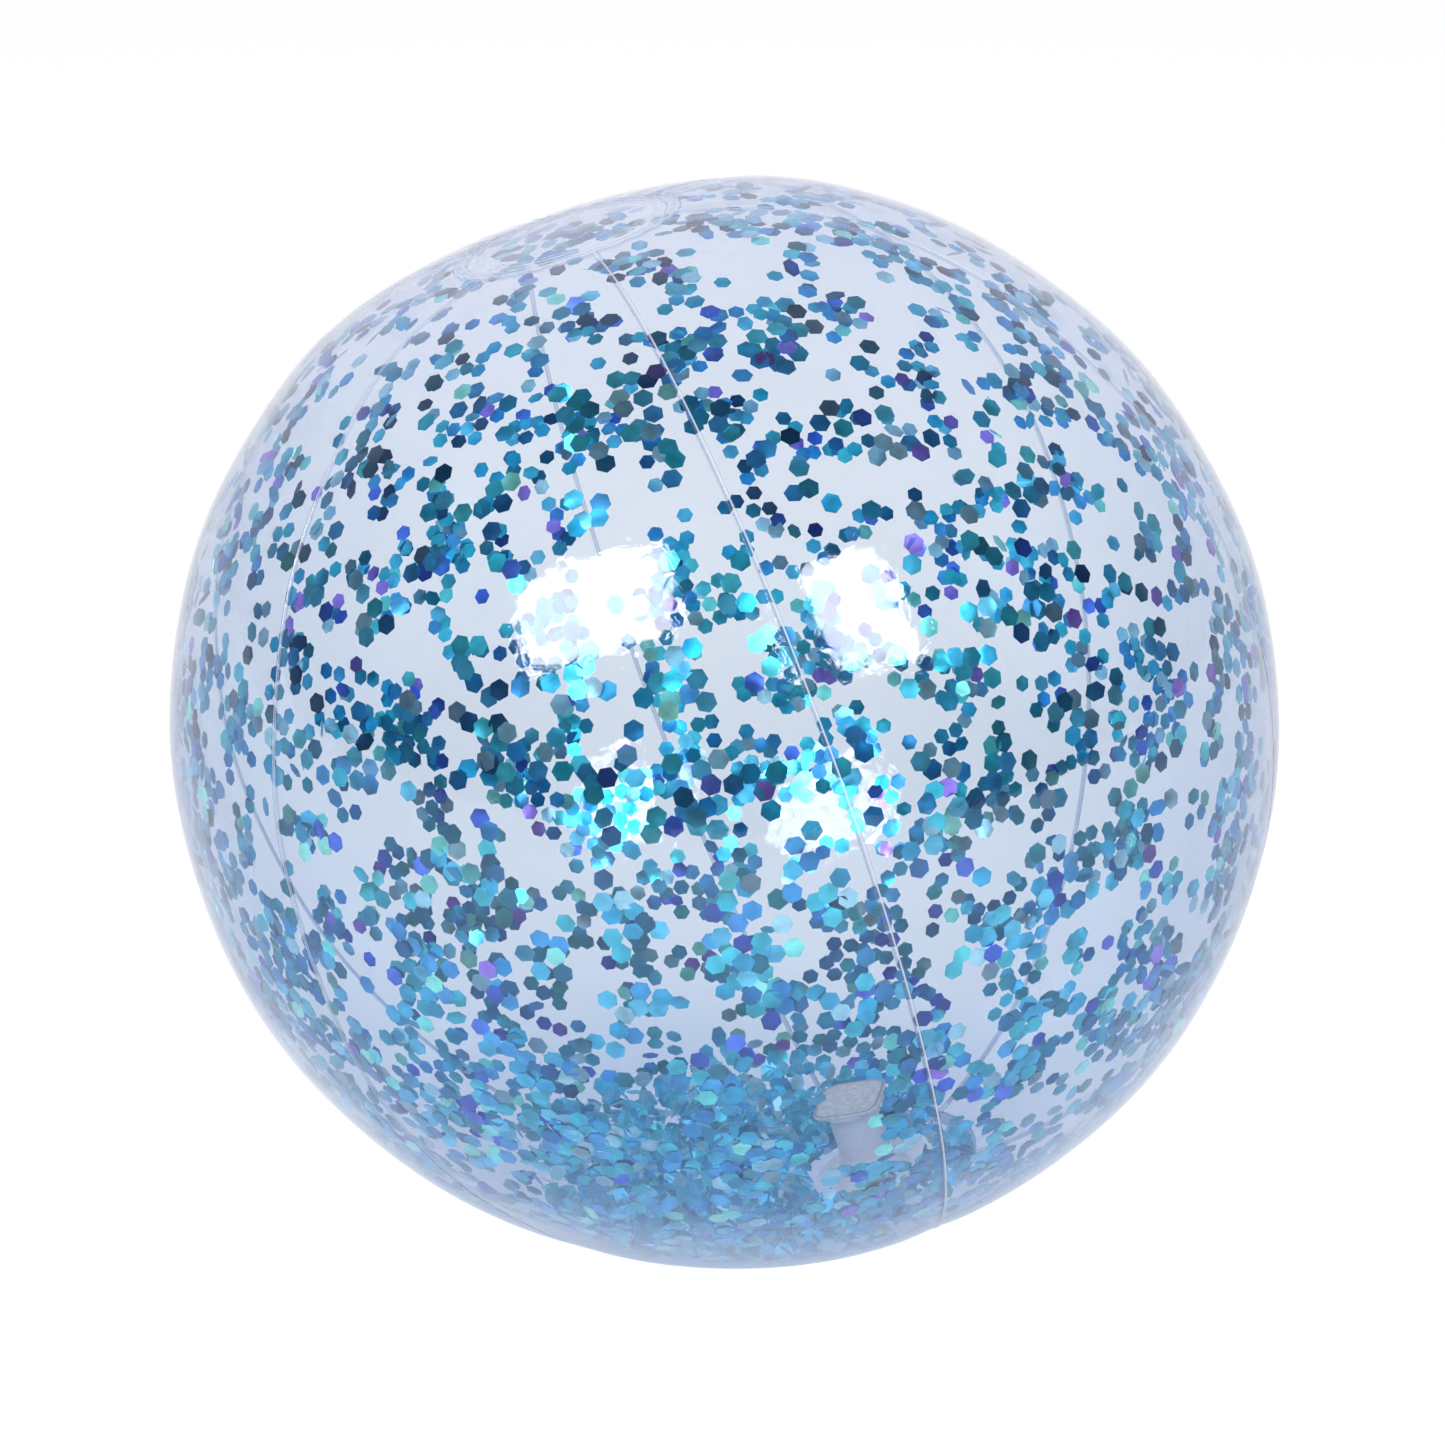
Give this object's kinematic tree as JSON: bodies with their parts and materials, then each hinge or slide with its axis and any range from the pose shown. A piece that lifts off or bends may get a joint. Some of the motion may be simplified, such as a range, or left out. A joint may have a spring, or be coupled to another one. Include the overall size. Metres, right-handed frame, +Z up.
{
  "type": "inflatable beach ball",
  "caption": "Clear inflatable ball of welded film gores and end caps, with loose hexagon glitter inside and a push-in valve with stopper and check flap.",
  "frame": {"origin": "on the floor, in the flattened patch the ball stands on, straight below the ball's centre", "axes": "+Z up; the polar axis through both caps lies in the XZ plane and leans 17 degrees from +Z towards -X, with the valve at its lower end"},
  "size_m": [0.26, 0.26, 0.2559],
  "materials": {
    "film": "clear soft PVC film, glossy, faintly lavender",
    "valve": "translucent moulded soft PVC, satin",
    "flap": "embossed frosted PVC film",
    "glitter": "holographic metallised polyester, mirror-like, blue to violet"
  },
  "bodies": {
    "ball": {"panel_1": "film", "panel_2": "film", "panel_3": "film", "panel_4": "film", "panel_5": "film", "panel_6": "film", "top_cap": "film", "bottom_cap": "film", "valve_flange": "valve", "valve_skirt": "valve", "glitter_panel_1": "glitter", "glitter_panel_2": "glitter", "glitter_panel_3": "glitter", "glitter_panel_4": "glitter", "glitter_panel_5": "glitter", "glitter_panel_6": "glitter", "glitter_top_cap": "glitter", "glitter_pile": "glitter"},
    "stem": {"valve_stem": "valve"},
    "plug": {"valve_plug": "valve", "plug_strap": "valve"},
    "flap": {"check_flap": "flap"}
  },
  "joints": [
    {"name": "valve_push", "type": "slide", "parent": "ball", "child": "stem", "axis": [0.2924, 0, -0.9563], "range_m": [0, 0.016], "deforming": ["valve_skirt"]},
    {"name": "plug_swing", "type": "hinge", "parent": "stem", "child": "plug", "pos_m": [0.04695, 0, 0.00619], "axis": [0, -1, 0], "range_deg": [0, 150]},
    {"name": "flap_lift", "type": "hinge", "parent": "stem", "child": "flap", "pos_m": [0.02349, 0.00207, 0.02432], "axis": [-0.2475, -0.9659, -0.0757], "range_deg": [0, 55]}
  ]
}
